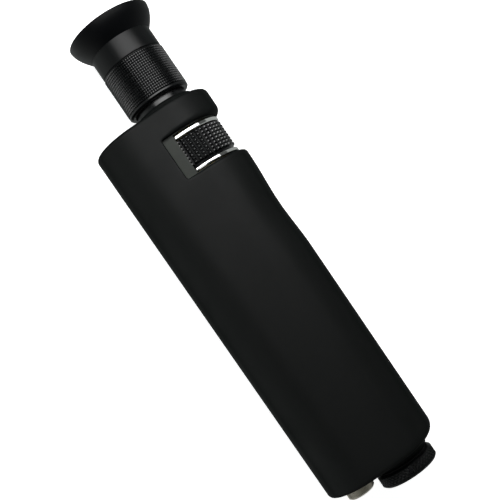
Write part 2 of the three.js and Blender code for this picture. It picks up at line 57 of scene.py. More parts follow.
def mm_box(node):
    """Lower and upper corner of a node's box."""
    low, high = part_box(node)
    return np.array(low) / MM, np.array(high) / MM


def half_size(node, axis):
    low, high = mm_box(node)
    return (high[axis] - low[axis]) / 2


def middle(node, axis):
    low, high = mm_box(node)
    return (low[axis] + high[axis]) / 2


def span(node):
    """First and last Y of a node, as stations."""
    low, high = mm_box(node)
    return low[1] - NOSE_Y, high[1] - NOSE_Y


OPTIC_X, BATTERY_X = middle("neck_tube", 0), middle("battery_cell_lower", 0)
AXIS_Z = middle("rubber_boot", 2)
HALF_WIDTH, HALF_THICKNESS = half_size("rubber_boot", 0), half_size("rubber_boot", 2)
SHELL_HALF_WIDTH, SHELL_HALF_THICKNESS = half_size("shell_tube", 0), half_size("shell_tube", 2)
FIT = 0.2
BOOT_WALL = HALF_THICKNESS - SHELL_HALF_THICKNESS - FIT
NOSE_COLLAR = 2.2
NOSE_Y = mm_box("rubber_boot")[0][1] + NOSE_COLLAR
BODY_LENGTH = mm_box("shell_tube")[1][1] + FIT + BOOT_WALL - NOSE_Y


# ---- Meshes ----

ROUND, FINE_ROUND = 96, 160         # mesh lines round a hidden or small turned piece, and round a large one
AS_DRAWN = 1e-9                     # an outline point's mark: its corner isn't rounded, and no relief cuts it


def placed(verts):
    """Vertices from (x, station, z above the axis) in millimetres to the frame's metres."""
    return (np.asarray(verts, float).reshape(-1, 3) + [0, NOSE_Y, AXIS_Z]) * MM


def new_object(name, data):
    thing = bpy.data.objects.new(name, data)
    bpy.context.scene.collection.objects.link(thing)
    return thing


def closed_mesh(name, verts, faces):
    """A mesh, and its bmesh with the faces turned outwards, not yet written back."""
    mesh = bpy.data.meshes.new(name)
    mesh.from_pydata(placed(verts).tolist(), [], faces)
    bm = bmesh.new()
    bm.from_mesh(mesh)
    bmesh.ops.recalc_face_normals(bm, faces=bm.faces)
    return mesh, bm


def build(name, verts, faces, body, look, slot, replaced=(), sharp_degrees=32):
    """One piece from vertices in millimetres (x, station, z above the axis)."""
    mesh, bm = closed_mesh(name, verts, faces)
    for face in bm.faces:
        face.smooth = True
    for edge in bm.edges:
        if len(edge.link_faces) == 2 and edge.calc_face_angle(0) > math.radians(sharp_degrees):
            edge.smooth = False
    bm.to_mesh(mesh)
    bm.free()
    mesh.materials.append(look)
    piece = new_object(name, mesh)
    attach(piece, body)
    if replaced:
        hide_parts(*replaced)
    return piece


def soften(corners, radius, steps=3):
    """A closed [radius, station] outline with each corner turned into a small arc."""
    points = [np.array(c[:2], float) for c in corners]
    marks = [c[2] if len(c) > 2 else 0 for c in corners]
    rounded = []
    count = len(points)
    for i, here in enumerate(points):
        before, after = points[i - 1], points[(i + 1) % count]
        to_before, to_after = before - here, after - here
        reach = min(radius, 0.45 * np.linalg.norm(to_before), 0.45 * np.linalg.norm(to_after))
        if marks[i] or here[0] < 1e-6 or reach < 1e-4:
            rounded.append((*here, marks[i]))
            continue
        start = here + to_before / np.linalg.norm(to_before) * reach
        end = here + to_after / np.linalg.norm(to_after) * reach
        for k in range(steps + 1):
            t = k / steps
            point = (1 - t) ** 2 * start + 2 * t * (1 - t) * here + t ** 2 * end
            rounded.append((*point, 0))
    return rounded


def revolve(x, outline, columns, relief, shares):
    """Vertices and faces of a closed outline [radius, station, mark] turned about the axis through x.
    relief(angle, station) is how far a marked point sinks below its radius. Each column has one vertex
    at every one of its shares, so that a knurl's edges fall on mesh lines."""
    angle = np.add.outer(np.arange(columns), np.array(shares)).ravel() / columns * 2 * math.pi
    columns = len(angle)
    verts, rows, depths = [], [], []
    for radius, station, mark in outline:
        if radius < 1e-6:
            rows.append([len(verts)] * columns)
            verts.append((x, station, 0))
            depths.append(None)
            continue
        r = np.full(columns, float(radius))
        if mark and relief:
            r = r - mark * relief(angle, station)
        rows.append(list(range(len(verts), len(verts) + columns)))
        depths.append(r if mark == 1 else None)
        verts += list(zip(x + r * np.sin(angle), np.full(columns, station), r * np.cos(angle)))
    faces = []
    whole = outline[0][0] > 0 or outline[-1][0] > 0
    for k in range(len(rows) if whole else len(rows) - 1):
        low, high = rows[k], rows[(k + 1) % len(rows)]
        near, far = depths[k], depths[(k + 1) % len(rows)]
        for i in range(columns):
            j = (i + 1) % columns
            corner = list(dict.fromkeys((low[i], low[j], high[j], high[i])))
            if near is not None and far is not None:
                one, other = abs(near[i] - far[j]), abs(near[j] - far[i])
                if abs(one - other) > 1e-6:
                    if one < other:
                        corner = corner[1:] + corner[:1]
                    faces += [(corner[0], corner[1], corner[2]), (corner[0], corner[2], corner[3])]
                    continue
            if len(corner) > 2:
                faces.append(corner)
    return verts, faces


def turned(name, x, corners, body, look, slot, replaced=(), columns=ROUND, relief=None, radius=0.15,
           shares=(0,)):
    """One turned piece, its corners rounded by radius."""
    verts, faces = revolve(x, soften(corners, radius), columns, relief, shares)
    return build(name, verts, faces, body, look, slot, replaced)


def triangle_wave(phase):
    """0 at whole numbers, 1 half-way between them."""
    return 1 - np.abs(2 * (phase - np.floor(phase)) - 1)


def knurl_shares(groove, top):
    """Where a stud's four edges fall within its pitch, for a groove floor and a flat top of these widths."""
    return groove / 2, (1 - top) / 2, (1 + top) / 2, 1 - groove / 2


def stud_height(phase, groove, top):
    """0 on the groove's floor and 1 on the stud's top, with straight flanks between them."""
    return np.clip((triangle_wave(phase) - groove) / (1 - top - groove), 0, 1)


def knurl_rows(radius, first, last, count, groove, top):
    """The marked rows of a band of studs, each stud's edges on rows of their own."""
    pitch = (last - first) / count
    shares = knurl_shares(groove, top)
    return [(radius, first + pitch * (k + share), 1.0) for k in range(count) for share in shares]


def stations(first, last, step):
    """Evenly spaced values from first to last, about a step apart."""
    return np.linspace(first, last, max(2, round((last - first) / step) + 1))


def marked_band(radius, first, last, step):
    """Outline points that the relief cuts into, a step apart."""
    return [(radius, s, 1.0) for s in stations(first, last, step)]


def cut_out(piece, shape):
    """Takes a closed shape, in the same millimetres as build takes, out of a piece."""
    mesh, bm = closed_mesh("cutter", *shape)
    bm.to_mesh(mesh)
    bm.free()
    cutter = new_object("cutter", mesh)
    modifier = piece.modifiers.new("cut", "BOOLEAN")
    modifier.operation, modifier.solver, modifier.object = "DIFFERENCE", "EXACT", cutter
    bpy.context.view_layer.update()
    shaped = piece.evaluated_get(bpy.context.evaluated_depsgraph_get())
    mesh = bpy.data.meshes.new_from_object(shaped)
    piece.modifiers.clear()
    old, piece.data = piece.data, mesh
    bpy.data.meshes.remove(old)
    bpy.data.objects.remove(cutter)


def box_shape(x0, x1, s0, s1, z0, z1):
    """A box between two x, two stations and two heights above the axis."""
    verts = [(x, s, z) for x in (x0, x1) for s in (s0, s1) for z in (z0, z1)]
    return verts, [(0, 1, 3, 2), (4, 6, 7, 5), (0, 4, 5, 1), (2, 3, 7, 6), (0, 2, 6, 4), (1, 5, 7, 3)]


def upright_pin(x, station, radius, low, high, columns=32):
    """A round pin standing along z, with its ends given as heights above the axis."""
    angle = np.linspace(0, 2 * math.pi, columns, endpoint=False)
    ring = [(x + radius * math.cos(a), station + radius * math.sin(a)) for a in angle]
    verts = [(px, py, low) for px, py in ring] + [(px, py, high) for px, py in ring]
    faces = [tuple(range(columns)), tuple(range(columns, 2 * columns))]
    faces += [(i, (i + 1) % columns, (i + 1) % columns + columns, i + columns) for i in range(columns)]
    return verts, faces


# ---- Materials ----


class Nodes:
    """A short way to write a procedural material."""

    def __init__(self, name):
        self.material = bpy.data.materials.new(name)
        self.material.use_nodes = True
        self.tree = self.material.node_tree
        self.shader = self.tree.nodes["Principled BSDF"]
        self.place = self.add("ShaderNodeTexCoord").outputs["Object"]

    def add(self, kind, **settings):
        node = self.tree.nodes.new(kind)
        for key, value in settings.items():
            if key in node.inputs:
                node.inputs[key].default_value = value
            else:
                setattr(node, key, value)
        return node

    def link(self, source, target):
        self.tree.links.new(source, target)

    def stretched(self, scale, source=None):
        mapping = self.add("ShaderNodeMapping")
        mapping.inputs["Scale"].default_value = scale
        self.link(source or self.place, mapping.inputs["Vector"])
        return mapping.outputs["Vector"]

    def noise(self, scale, detail, source=None):
        node = self.add("ShaderNodeTexNoise", Scale=scale, Detail=detail, Roughness=0.55)
        self.link(source or self.place, node.inputs["Vector"])
        return node.outputs["Fac"]

    def ramp(self, source, low, high):
        """Two greys or two colours, blended over the middle of a noise's range."""
        node = self.add("ShaderNodeValToRGB")
        for element, position, value in zip(node.color_ramp.elements, (0.3, 0.7), (low, high)):
            element.position = position
            element.color = (*value, 1) if isinstance(value, tuple) else (value, value, value, 1)
        self.link(source, node.inputs["Fac"])
        return node.outputs["Color"]

    def edge_fall(self, facing, grazing):
        """A refractive index that falls towards the edges, where a rough black surface reflects less than a
        smooth one."""
        weight = self.add("ShaderNodeLayerWeight", Blend=0.5)
        index = self.add("ShaderNodeMapRange")
        for socket, value in (("From Min", 0.1), ("From Max", 0.55), ("To Min", facing), ("To Max", grazing)):
            index.inputs[socket].default_value = value
        self.link(weight.outputs["Facing"], index.inputs["Value"])
        return index.outputs["Result"]

    def bump(self, height, strength, distance, under=None):
        node = self.add("ShaderNodeBump", Strength=strength, Distance=distance)
        self.link(height, node.inputs["Height"])
        if under:
            self.link(under, node.inputs["Normal"])
        return node.outputs["Normal"]

    def set(self, **values):
        for key, value in values.items():
            socket = self.shader.inputs[key.replace("_", " ")]
            if isinstance(value, bpy.types.NodeSocket):
                self.link(value, socket)
            else:
                socket.default_value = value
        return self.material


def rubber(name, colour, roughness=(0.5, 0.62), grain=0.35):
    """Moulded rubber: a fine matt grain and slow patches of handling."""
    n = Nodes(name)
    patches = n.noise(45, 3)
    fine = n.noise(5200, 2)
    lighter = tuple(c * 1.22 for c in colour)
    shade = n.ramp(patches, colour, lighter)
    grain_normal = n.bump(fine, grain, 0.00004)
    normal = n.bump(n.noise(260, 3), 0.12, 0.0003, grain_normal)
    return n.set(Base_Color=shade, Roughness=n.ramp(n.noise(90, 5), *roughness), Normal=normal,
                 IOR=n.edge_fall(1.27, 1.06))


def turned_metal(name, colour, metallic, roughness, streak, ior=1.5):
    """Turned and finished metal: fine rings left by the tool and slight wear in the finish."""
    n = Nodes(name)
    rings = n.noise(1.0, 4, n.stretched((300, 9000, 300)))
    wear = n.noise(160, 5)
    darker = tuple(c * 0.8 for c in colour)
    shade = n.ramp(wear, darker, colour)
    normal = n.bump(rings, streak, 0.00002)
    return n.set(Base_Color=shade, Metallic=metallic, Roughness=n.ramp(rings, *roughness), Normal=normal,
                 IOR=ior if metallic else n.edge_fall(ior, 1.12))


def burnished_knurl(name, groove_radius, tip_radius, bright):
    """Black metal whose knurl is rubbed bright at its tips and stays dull in its grooves. Radii are in
    millimetres from the optical axis, and dull and bright are refractive indices."""
    dull = 1.22
    n = Nodes(name)
    offset = n.add("ShaderNodeVectorMath", operation="SUBTRACT")
    offset.inputs[1].default_value = (OPTIC_X * MM, 0, AXIS_Z * MM)
    n.link(n.place, offset.inputs[0])
    radius = n.add("ShaderNodeVectorMath", operation="LENGTH")
    n.link(n.stretched((1, 0, 1), offset.outputs["Vector"]), radius.inputs[0])
    polish = n.add("ShaderNodeMapRange")
    for socket, value in (("From Min", groove_radius * MM), ("From Max", tip_radius * MM), ("To Min", dull)):
        polish.inputs[socket].default_value = value
    n.link(n.edge_fall(bright, 1.16), polish.inputs["To Max"])
    n.link(radius.outputs["Value"], polish.inputs["Value"])
    wear = n.noise(160, 5)
    return n.set(Base_Color=n.ramp(wear, (0.0028, 0.0032, 0.0034), ANODISED),
                 Roughness=n.ramp(n.noise(900, 3), 0.2, 0.3), IOR=polish.outputs["Result"],
                 Normal=n.bump(n.noise(1.0, 4, n.stretched((300, 9000, 300))), 0.05, 0.00002))


def plastic(name, colour, roughness, grain=0.15, ior=(1.46, 1.46)):
    """Moulded plastic with a fine grain. ior is the index seen face on, and at the edges."""
    n = Nodes(name)
    shade = n.ramp(n.noise(120, 3), tuple(c * 0.85 for c in colour), colour)
    return n.set(Base_Color=shade, Roughness=n.ramp(n.noise(300, 4), *roughness),
                 Normal=n.bump(n.noise(2600, 2), grain, 0.00003), IOR=n.edge_fall(*ior))


def lens_glass(name, tint, coating):
    """Clear glass with a thin coating's colour and faint smudges on its polish."""
    n = Nodes(name)
    smudge = n.noise(150, 2)
    shade = n.ramp(n.noise(250, 2), tuple(c * 0.98 for c in tint), tint)
    return n.set(Base_Color=shade, Roughness=n.ramp(smudge, 0.0, 0.008), Transmission_Weight=1.0, IOR=1.52,
                 Normal=n.bump(smudge, 0.02, 0.00001), Coat_Weight=0.6, Coat_Tint=(*coating, 1),
                 Coat_Roughness=0.03)


def circuit_board(name):
    """Green board with lighter tracks, raised a little."""
    n = Nodes(name)
    tracks = n.add("ShaderNodeTexBrick", Scale=900.0)
    n.link(n.place, tracks.inputs["Vector"])
    tracks.inputs["Color1"].default_value = (0.012, 0.07, 0.028, 1)
    tracks.inputs["Color2"].default_value = (0.016, 0.09, 0.036, 1)
    tracks.inputs["Mortar"].default_value = (0.03, 0.14, 0.06, 1)
    return n.set(Base_Color=tracks.outputs["Color"], Roughness=n.ramp(n.noise(700, 3), 0.3, 0.42),
                 Normal=n.bump(tracks.outputs["Fac"], 0.3, 0.00004))


ANODISED = (0.0035, 0.004, 0.0042)
LOOKS = {
    "boot_rubber": rubber("boot rubber", (0.004, 0.0047, 0.0045)),
    "shell_metal": turned_metal("grey shell metal", (0.026, 0.03, 0.025), 0.0, (0.42, 0.5), 0.06, 1.3),
    "black_metal": turned_metal("black anodised metal", ANODISED, 0.0, (0.28, 0.36), 0.05, 1.3),
    "cup_plastic": plastic("eyecup plastic", (0.002, 0.0023, 0.0028), (0.36, 0.46), ior=(1.17, 1.2)),
    "chrome": turned_metal("chrome", (0.82, 0.82, 0.8), 1.0, (0.05, 0.09), 0.03),
    "knob_metal": turned_metal("satin nickel", (0.5, 0.47, 0.4), 1.0, (0.26, 0.36), 0.12),
    "brass": turned_metal("turned brass", (0.6, 0.42, 0.16), 1.0, (0.22, 0.34), 0.15),
    "steel": turned_metal("turned steel", (0.5, 0.5, 0.51), 1.0, (0.2, 0.32), 0.12),
    "seal_rubber": rubber("seal rubber", (0.01, 0.01, 0.01), (0.6, 0.72), 0.5),
    "glass": lens_glass("coated glass", (0.97, 0.99, 1.0), (0.75, 0.7, 1.0)),
    "filter_glass": lens_glass("filter glass", (0.6, 0.85, 0.88), (0.7, 0.9, 0.8)),
    "liner_plastic": plastic("liner plastic", (0.03, 0.03, 0.032), (0.45, 0.6)),
    "cell_wrap": plastic("cell sleeve", (0.05, 0.11, 0.2), (0.16, 0.26), 0.05),
    "board": circuit_board("lamp board"),
    "led_resin": plastic("lamp resin", (0.85, 0.82, 0.7), (0.08, 0.16), 0.03),
    "wire_insulation": plastic("wire insulation", (0.4, 0.02, 0.015), (0.3, 0.4), 0.08),
}

NECK_METAL = turned_metal("polished black metal", ANODISED, 0.0, (0.2, 0.27), 0.05, 1.52)
BLACK, SEAL = [(LOOKS[slot], slot) for slot in ("black_metal", "seal_rubber")]     # a look with its slot
BLACKENED_STEEL = turned_metal("blackened steel", (0.02, 0.02, 0.022), 1.0, (0.3, 0.4), 0.1)

SLOT_OF = {part["node"]: part["material_slot"] for part in frame["record"]["subparts"]}
for node, thing in frame["nodes"].items():
    thing.data.materials.clear()
    thing.data.materials.append(LOOKS[SLOT_OF[node]])


# ---- Rubber boot ----

EDGE = 1.4                          # rounding at the boot's two ends
NOSE_EXTRA_ROUNDING = 2.6           # more at the nose, on the wheel side
NOSE_TAPER, NOSE_TAPER_WHEEL_SIDE = 1.6, 0.8
WAIST_STATION, WAIST_DEPTH, WAIST_HALF_LENGTH = 85.0, 0.7, 17.0
QUARTER = HALF_THICKNESS * math.pi / 2          # arc from the wheel side's middle up to the flat
FLAT = 2 * (HALF_WIDTH - HALF_THICKNESS)
HALF_ROUND = 2 * QUARTER + FLAT
WINDOW_FROM, WINDOW_TO = span("wheel_ring_lower")[0] - 0.6, span("wheel_ring_upper")[1] + 0.6
WINDOW_REACH = QUARTER + FLAT / 2               # how far round the window goes: to x = 0, front and back
WINDOW_CORNER = 0.7
LIP_CRISP, LIP_EYEPIECE, LIP_THICK_SIDE, LIP_NOSE = 0.45, 0.75, 1.2, 0.65      # rounding of the window's lip
PATCH = 4.0                                     # width of the finely meshed border round the window
BORDER_FROM, BORDER_TO = WINDOW_FROM - PATCH, WINDOW_TO + PATCH
FINE_STEP, STEP, LONG_STEP = 0.45, 0.9, 2.0     # sizes of the boot's mesh
FIRST_ROW, LAST_ROW = 4.0, BODY_LENGTH - EDGE - 1.5
INNER_NEAR, INNER_FAR = 10.0, BODY_LENGTH - 4.0     # outside these the inside's rows make room for the ends
NECK_HOLE, SEAT_HOLE, CAP_HOLE = 9.1, 8.2, 6.2
DIVIDING_X = -3.4                               # where the nose face is divided between its two holes
DIVIDE_AT = QUARTER + FLAT * 0.79               # how far round the dividing line meets the edge
NECK_COLLAR_HEIGHT = 2.1


def body_sides(station):
    """Battery-side and wheel-side edges of the boot at a station."""
    towards_nose = max(1 - station / (BODY_LENGTH - EDGE), 0)
    off_waist = min(abs(station - WAIST_STATION) / WAIST_HALF_LENGTH, 1)
    waist = WAIST_DEPTH * 0.5 * (1 + math.cos(math.pi * off_waist))
    left = -HALF_WIDTH + NOSE_TAPER * towards_nose
    right = HALF_WIDTH - NOSE_TAPER_WHEEL_SIDE * towards_nose - waist
    return left, right


def oval_point(round_at, left, right, half, inset=0.0):
    """A point of an oval section. round_at is the distance round it from the wheel side's middle, up being
    positive, on the boot's full-size section."""
    centre_left, centre_right = left + half, right - half
    radius = half - inset
    sign = 1 if round_at >= 0 else -1
    distance = abs(round_at)
    if distance <= QUARTER:
        angle = distance / QUARTER * math.pi / 2
        return centre_right + radius * math.cos(angle), sign * radius * math.sin(angle)
    if distance <= QUARTER + FLAT:
        share = (distance - QUARTER) / FLAT
        return centre_right + (centre_left - centre_right) * share, sign * radius
    angle = (distance - QUARTER - FLAT) / QUARTER * math.pi / 2
    return centre_left - radius * math.sin(angle), sign * radius * math.cos(angle)


def outer_point(round_at, station, inset=0.0):
    left, right = body_sides(station)
    x, z = oval_point(round_at, left, right, HALF_THICKNESS, inset)
    return x, station, z


def inner_point(round_at, station):
    """The boot's inside: the shell's outline with its clearance, stopping at the end walls."""
    x, z = oval_point(round_at, -SHELL_HALF_WIDTH - FIT, SHELL_HALF_WIDTH + FIT, SHELL_HALF_THICKNESS + FIT)
    if station < INNER_NEAR:
        station = BOOT_WALL + station * (INNER_NEAR - BOOT_WALL) / INNER_NEAR
    elif station > INNER_FAR:
        left_over = (station - INNER_FAR) / (BODY_LENGTH - INNER_FAR)
        station = INNER_FAR + left_over * (BODY_LENGTH - BOOT_WALL - INNER_FAR)
    return x, station, z


def nose_rounding(round_at):
    """The nose's edge is rounded further on the wheel side."""
    share = math.cos(min(abs(round_at) / (QUARTER + FLAT / 2), 1) * math.pi / 2) ** 2
    return EDGE + NOSE_EXTRA_ROUNDING * share


def window_edge_radius(round_at, station, on_side):
    """Rounding of the window's lip: soft along its long edges, more so over the thick side towards the
    eyepiece, and crisp at its ends."""
    if on_side:
        return LIP_CRISP
    away = min((WINDOW_REACH - abs(round_at)) / 5, 1)
    if station <= (WINDOW_FROM + WINDOW_TO) / 2:
        return LIP_CRISP + away * LIP_NOSE
    side = math.cos(min(abs(round_at) / QUARTER, 1) * math.pi / 2) ** 2
    return LIP_CRISP + away * (LIP_EYEPIECE + LIP_THICK_SIDE * side)


def column_places():
    """Distances round the section where the boot's lengthwise mesh lines run."""
    edge, turn = WINDOW_REACH, WINDOW_REACH - WINDOW_CORNER
    half = [*stations(0, turn, STEP), *stations(turn, edge + PATCH, FINE_STEP)[1:],
            *stations(edge + PATCH, HALF_ROUND, STEP)[1:]]
    return [-c for c in reversed(half[1:-1])] + half


def row_places():
    """Stations where the boot's mesh lines run round it."""
    low, high = WINDOW_FROM, WINDOW_TO
    return [*stations(FIRST_ROW, low - PATCH, LONG_STEP),
            *stations(low - PATCH, low + WINDOW_CORNER, FINE_STEP)[1:],
            *stations(low + WINDOW_CORNER, high - WINDOW_CORNER, STEP)[1:],
            *stations(high - WINDOW_CORNER, high + PATCH, FINE_STEP)[1:], LAST_ROW]


def window_outline(c, s):
    """The point of the window's outline that belongs to a point on the border's outer rectangle, and how far
    the outline faces sideways there: 0 on a long edge, 1 on an end."""
    edge, turn = WINDOW_REACH, WINDOW_REACH - WINDOW_CORNER
    middle, half = (WINDOW_FROM + WINDOW_TO) / 2, (WINDOW_TO - WINDOW_FROM) / 2
    down = half - WINDOW_CORNER
    u, v = abs(c), abs(s - middle)
    if u <= turn:
        v, side = half, 0.0
    elif v <= down:
        u, side = edge, 1.0
    else:
        on_end = u > edge + PATCH - 1e-6
        share = (v - down) / (half + PATCH - down) if on_end else (u - turn) / (edge + PATCH - turn)
        angle = share * math.pi / 4 if on_end else math.pi / 2 - share * math.pi / 4
        u, v = turn + WINDOW_CORNER * math.cos(angle), down + WINDOW_CORNER * math.sin(angle)
        side = math.cos(angle)
    return math.copysign(u, c), middle + math.copysign(v, s - middle), side


class Skin:
    """Collects vertices and faces, and finds a vertex again by its key."""

    def __init__(self):
        self.verts, self.faces, self.found = [], [], {}

    def vertex(self, key, point):
        if key not in self.found:
            self.found[key] = len(self.verts)
            self.verts.append(point)
        return self.found[key]

    def loop(self, points):
        """New vertices, one for each point."""
        first = len(self.verts)
        self.verts += points
        return list(range(first, first + len(points)))

    def bridge(self, one, other):
        for i in range(len(one)):
            j = (i + 1) % len(one)
            self.faces.append((one[i], one[j], other[j], other[i]))


def ring_points(loop_points, centre_x, radius, station):
    """Points of a circle at the same bearings as those of a loop round it."""
    bearings = [math.atan2(z, x - centre_x) for x, _, z in loop_points]
    return [(centre_x + radius * math.cos(b), station, radius * math.sin(b)) for b in bearings]


def skin_long_rows(skin, columns, rows):
    """The boot's length, outside and inside, with the window's border left open."""
    within = WINDOW_REACH + PATCH - 1e-6
    for side, point in (("out", outer_point), ("in", inner_point)):
        for low, high in zip(rows, rows[1:]):
            for here, following in zip(columns, columns[1:] + columns[:1]):
                if abs(here + 0.01) < within and BORDER_FROM < (low + high) / 2 < BORDER_TO:
                    continue
                corners = [(here, low), (following, low), (following, high), (here, high)]
                skin.faces.append([skin.vertex((side, c, s), point(c, s)) for c, s in corners])


def border_rectangle(columns, rows):
    """The outer edge of the window's border, once round."""
    reach = WINDOW_REACH + PATCH
    across = [c for c in columns if abs(c) <= reach + 1e-6]
    along = [s for s in rows if BORDER_FROM - 1e-6 <= s <= BORDER_TO + 1e-6]
    return [*((c, BORDER_FROM) for c in across), *((reach, s) for s in along[1:]),
            *((c, BORDER_TO) for c in reversed(across[:-1])), *((-reach, s) for s in reversed(along[1:-1]))]


def border_vertex(skin, side, c, s, share):
    """A vertex of the border's ring at a share of the way out from the window's outline."""
    if share == 1.0:
        return skin.vertex((side, c, s), outer_point(c, s) if side == "out" else inner_point(c, s))
    edge_c, edge_s, sideways = window_outline(c, s)
    here_c, here_s = edge_c + (c - edge_c) * share, edge_s + (s - edge_s) * share
    if side == "in":
        return skin.loop([inner_point(here_c, here_s)])[0]
    lip = (window_edge_radius(edge_c, edge_s, False) * (1 - sideways)
           + window_edge_radius(edge_c, edge_s, True) * sideways)
    short = max(lip - math.hypot(here_c - edge_c, here_s - edge_s), 0)
    inset = lip - math.sqrt(max(lip ** 2 - short ** 2, 0))
    return skin.loop([outer_point(here_c, here_s, inset)])[0]


def skin_window_border(skin, columns, rows):
    """Rings from the border's outer rectangle to the rounded lip, outside and inside, joined at the lip."""
    rectangle = border_rectangle(columns, rows)
    lips = []
    for side in ("out", "in"):
        rings = [[border_vertex(skin, side, c, s, share) for c, s in rectangle]
                 for share in (1.0, 0.8, 0.62, 0.48, 0.36, 0.27, 0.19, 0.12, 0.07, 0.03, 0.0)]
        for one, other in zip(rings, rings[1:]):
            skin.bridge(one, other)
        lips.append(rings[-1])
    skin.bridge(*lips)


def end_loops(skin, columns, base_station, sign, end_station, rounding, steps=7):
    """Rounds one end of the boot. Gives the loops where its flat face starts, outside and inside."""
    previous = [skin.vertex(("out", c, base_station), outer_point(c, base_station)) for c in columns]
    for k in range(steps + 1):
        angle = math.pi / 2 * k / steps
        points = []
        for c in columns:
            r = rounding(c)
            back = r * (1 - math.sin(angle))
            points.append(outer_point(c, end_station - sign * back, r * (1 - math.cos(angle))))
        ring = skin.loop(points)
        skin.bridge(previous, ring)
        previous = ring
    inner_from = [skin.vertex(("in", c, base_station), inner_point(c, base_station)) for c in columns]
    inner = skin.loop([inner_point(c, end_station) for c in columns])
    skin.bridge(inner_from, inner)
    return previous, inner


def skin_round_hole(skin, outer_loop, inner_loop, centre_x, profile, inner_station, flat_rings=4):
    """Closes an end face, or a part of one, round its hole: the inside wall, flat rings outside, and the
    profile's rows through the hole."""
    outer_points = [skin.verts[i] for i in outer_loop]
    inner_hole = skin.loop(ring_points(outer_points, centre_x, profile[-1][0], inner_station))
    skin.bridge(inner_loop, inner_hole)
    pairs = list(zip(outer_points, ring_points(outer_points, centre_x, *profile[0])))
    rings = [[tuple(a + (b - a) * k / flat_rings for a, b in zip(p, q)) for p, q in pairs]
             for k in range(1, flat_rings + 1)]
    rings += [ring_points(outer_points, centre_x, *turned_row) for turned_row in profile[1:]]
    previous = outer_loop
    for ring in map(skin.loop, rings):
        skin.bridge(previous, ring)
        previous = ring
    skin.bridge(previous, inner_hole)


def dividing_line(skin, top, bottom, steps=16):
    """Vertices across the nose face between two edge vertices, bent to pass between the seat and the cap."""
    top, bottom = skin.verts[top], skin.verts[bottom]
    points = []
    for k in range(1, steps):
        t = k / steps
        z = top[2] + (bottom[2] - top[2]) * t
        bend = (abs(z) / abs(top[2])) ** 2
        points.append((DIVIDING_X + (top[0] - DIVIDING_X) * bend, top[1] + (bottom[1] - top[1]) * t, z))
    return skin.loop(points)


def boot_mesh():
    columns, rows = column_places(), row_places()
    skin = Skin()
    skin_long_rows(skin, columns, rows)
    skin_window_border(skin, columns, rows)

    # The eyepiece end, with the soft collar round the neck.
    outer_loop, inner_edge = end_loops(skin, columns, rows[-1], 1, BODY_LENGTH, lambda c: EDGE)
    collar = [(11.7, 0), (11.4, 0.12), (11.15, 0.4), (10.95, 0.85), (10.7, 1.3), (10.3, 1.72), (9.85, 1.98),
              (9.45, NECK_COLLAR_HEIGHT), (9.2, 2.03), (NECK_HOLE, 1.8), (NECK_HOLE, -0.6)]
    profile = [(r, BODY_LENGTH + rise) for r, rise in collar]
    skin_round_hole(skin, outer_loop, inner_edge, OPTIC_X, profile, BODY_LENGTH - BOOT_WALL)

    # The nose end, split between the seat's hole and the battery cap's hole.
    outer_loop, inner_edge = end_loops(skin, columns, rows[0], -1, 0.0, nose_rounding)
    divide = [i for i, c in enumerate(columns) if abs(abs(c) - DIVIDE_AT) < STEP / 2]
    low, high = divide[0], divide[-1]
    wheel_side = list(range(low, high + 1))
    cell_side = [*range(high, len(columns)), *range(low + 1)]
    out_split, in_split = [dividing_line(skin, loop[high], loop[low]) for loop in (outer_loop, inner_edge)]
    seat_profile = [(9.5, 0.0), (9.48, -0.5), (9.36, -1.0), (9.12, -1.5), (8.8, -1.9), (8.5, -2.12),
                    (8.3, -NOSE_COLLAR), (SEAT_HOLE, -2.1), (SEAT_HOLE, 0.6)]
    cap_profile = [(6.45, 0.0), (6.3, 0.05), (6.22, 0.16), (CAP_HOLE, 0.35), (CAP_HOLE, 0.9)]
    for members, turn, centre_x, profile in (
            (wheel_side, 1, OPTIC_X, seat_profile), (cell_side, -1, BATTERY_X, cap_profile)):
        outer_part = [outer_loop[i] for i in members] + out_split[::turn]
        inner_part = [inner_edge[i] for i in members] + in_split[::turn]
        skin_round_hole(skin, outer_part, inner_part, centre_x, profile, BOOT_WALL)
    return skin.verts, skin.faces


build("armour_boot", *boot_mesh(), "housing", LOOKS["boot_rubber"], "boot_rubber", ["rubber_boot"], 50)


# ---- Focus wheel ----

WHEEL_RADIUS = half_size("wheel_ring_upper", 0)
WHEEL_FROM, WHEEL_TO = span("focus_wheel")
WHEEL_BORE = 9.8
RING_GAP = 0.9                                 # depth of the dark gap between the lower ring and the studs
WHEEL_COLUMNS, WHEEL_ROWS, WHEEL_DEPTH = 44, 8, 0.54
WHEEL_GROOVE, WHEEL_TOP = 0.08, 0.1            # widths of the groove's floor and the stud's tip, in pitches
KNURL_FROM, KNURL_TO = WHEEL_FROM + 0.9, WHEEL_TO - 0.1


def wheel_relief(angle, station):
    """Square studs that narrow to a small tip: the nearer groove, round or along, sets the depth."""
    around = stud_height(angle / (2 * math.pi) * WHEEL_COLUMNS, WHEEL_GROOVE, WHEEL_TOP)
    row = (station - KNURL_FROM) / (KNURL_TO - KNURL_FROM) * WHEEL_ROWS
    along = stud_height(np.full_like(angle, row), WHEEL_GROOVE, WHEEL_TOP)
    return WHEEL_DEPTH * (1 - np.minimum(around, along))


